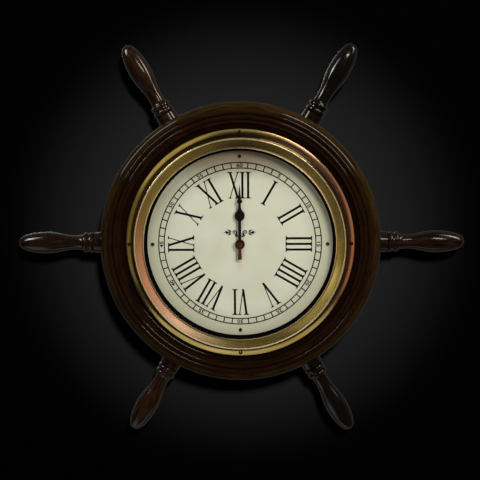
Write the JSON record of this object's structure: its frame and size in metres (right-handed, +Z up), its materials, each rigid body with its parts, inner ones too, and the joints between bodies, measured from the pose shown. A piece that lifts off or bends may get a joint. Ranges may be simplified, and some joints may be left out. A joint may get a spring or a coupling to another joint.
{
  "type": "ship's wheel wall clock",
  "caption": "Wall clock in the form of a ship's wheel: turned dark wooden ring with handles, brass bezel, glass, Roman dial, two hands and a battery quartz movement behind.",
  "frame": {"origin": "centre of the hanger plate's round hole, on the wall plane", "axes": "+Y into the wall, +Z up, +X to the right as seen from the front; the dial faces -Y"},
  "size_m": [0.4566, 0.0456, 0.3982],
  "materials": {
    "stained_wood": "dark stained, glossy lacquer",
    "bezel_brass": "spun and polished, a little tarnished",
    "screw_brass": "aged",
    "clear_glass": "clear, flat",
    "black_spacer": "black, matt",
    "dial_face": "cream print, satin",
    "hand_bronze": "dark bronze lacquer",
    "copper_nut": "copper coloured",
    "movement_brass": "turned",
    "rubber": "matt",
    "movement_plastic": "black, fine texture",
    "knob_plastic": "black",
    "gear_plastic": "natural acetal",
    "spring_steel": "plated strip",
    "magnet": "sintered",
    "copper_wire": "enamelled copper winding",
    "circuit_board": "solder mask",
    "crystal_can": "drawn can",
    "battery_jacket": "plain printed jacket",
    "hanger_steel": "zinc plated"
  },
  "bodies": {
    "wheel": {"wheel_body": "stained_wood", "handle_1_oclock": "stained_wood", "handle_3_oclock": "stained_wood", "handle_5_oclock": "stained_wood", "handle_7_oclock": "stained_wood", "handle_9_oclock": "stained_wood", "handle_11_oclock": "stained_wood", "brass_bezel": "bezel_brass", "bezel_screws": "screw_brass", "glass": "clear_glass", "spacer_ring": "black_spacer", "dial_plate": "dial_face", "dial_pins": "screw_brass", "dial_washer": "movement_brass", "dial_nut": "movement_brass", "rubber_washer": "rubber", "movement_case": "movement_plastic", "rear_cover": "movement_plastic", "train_plate": "gear_plastic", "stator": "spring_steel", "coil_core": "spring_steel", "coil_bobbin": "gear_plastic", "coil_winding": "copper_wire", "circuit_board": "circuit_board", "circuit_chip": "knob_plastic", "quartz_crystal": "crystal_can", "positive_contact": "spring_steel", "negative_contact": "spring_steel", "hanger_plate": "hanger_steel", "hanger_screws": "hanger_steel"},
    "minute": {"minute_arbor": "movement_brass", "minute_hand": "hand_bronze", "hand_nut": "copper_nut", "clutch_spring": "spring_steel"},
    "hour": {"hour_wheel": "gear_plastic", "hour_hand": "hand_bronze"},
    "minute_wheel": {"minute_wheel": "gear_plastic"},
    "setting": {"setting_arbor": "gear_plastic", "setting_knob": "knob_plastic"},
    "centre": {"centre_wheel": "gear_plastic"},
    "third": {"third_wheel": "gear_plastic"},
    "seconds": {"seconds_wheel": "gear_plastic"},
    "intermediate": {"intermediate_wheel": "gear_plastic"},
    "rotor": {"rotor": "gear_plastic", "rotor_magnet": "magnet"},
    "battery": {"battery": "battery_jacket"}
  },
  "joints": [
    {"name": "minute_turn", "type": "hinge", "parent": "wheel", "child": "minute", "pos_m": [0, -0.03796, -0.1047], "axis": [0, 1, 0], "continuous": true},
    {"name": "hour_turn", "type": "hinge", "parent": "wheel", "child": "hour", "pos_m": [0, -0.03674, -0.1047], "axis": [0, 1, 0], "continuous": true},
    {"name": "minute_wheel_turn", "type": "hinge", "parent": "wheel", "child": "minute_wheel", "pos_m": [-0.01159, -0.01682, -0.10159], "axis": [0, 1, 0], "continuous": true},
    {"name": "setting_turn", "type": "hinge", "parent": "wheel", "child": "setting", "pos_m": [-0.01367, -0.002, -0.08978], "axis": [0, 1, 0], "continuous": true},
    {"name": "rotor_turn", "type": "hinge", "parent": "wheel", "child": "rotor", "pos_m": [0.017, -0.01172, -0.08306], "axis": [0, 1, 0], "continuous": true},
    {"name": "intermediate_turn", "type": "hinge", "parent": "wheel", "child": "intermediate", "pos_m": [0.0193, -0.01172, -0.08938], "axis": [0, 1, 0], "continuous": true},
    {"name": "seconds_turn", "type": "hinge", "parent": "wheel", "child": "seconds", "pos_m": [0.01194, -0.01172, -0.09206], "axis": [0, 1, 0], "continuous": true},
    {"name": "third_turn", "type": "hinge", "parent": "wheel", "child": "third", "pos_m": [0.00947, -0.01172, -0.10125], "axis": [0, 1, 0], "continuous": true},
    {"name": "centre_turn", "type": "hinge", "parent": "wheel", "child": "centre", "pos_m": [0, -0.01172, -0.1047], "axis": [0, 1, 0], "continuous": true},
    {"name": "battery_slide", "type": "slide", "parent": "wheel", "child": "battery", "axis": [0, 1, 0], "range_m": [0, 0.02]}
  ],
  "couplings": [
    {"joint": "minute_wheel_turn", "follows": "minute_turn", "ratio": -0.33333},
    {"joint": "hour_turn", "follows": "minute_turn", "ratio": 0.083333},
    {"joint": "setting_turn", "follows": "minute_turn", "ratio": 1},
    {"joint": "intermediate_turn", "follows": "rotor_turn", "ratio": -0.2},
    {"joint": "seconds_turn", "follows": "rotor_turn", "ratio": 0.033333},
    {"joint": "third_turn", "follows": "rotor_turn", "ratio": -0.0044444},
    {"joint": "centre_turn", "follows": "rotor_turn", "ratio": 0.00055556}
  ]
}
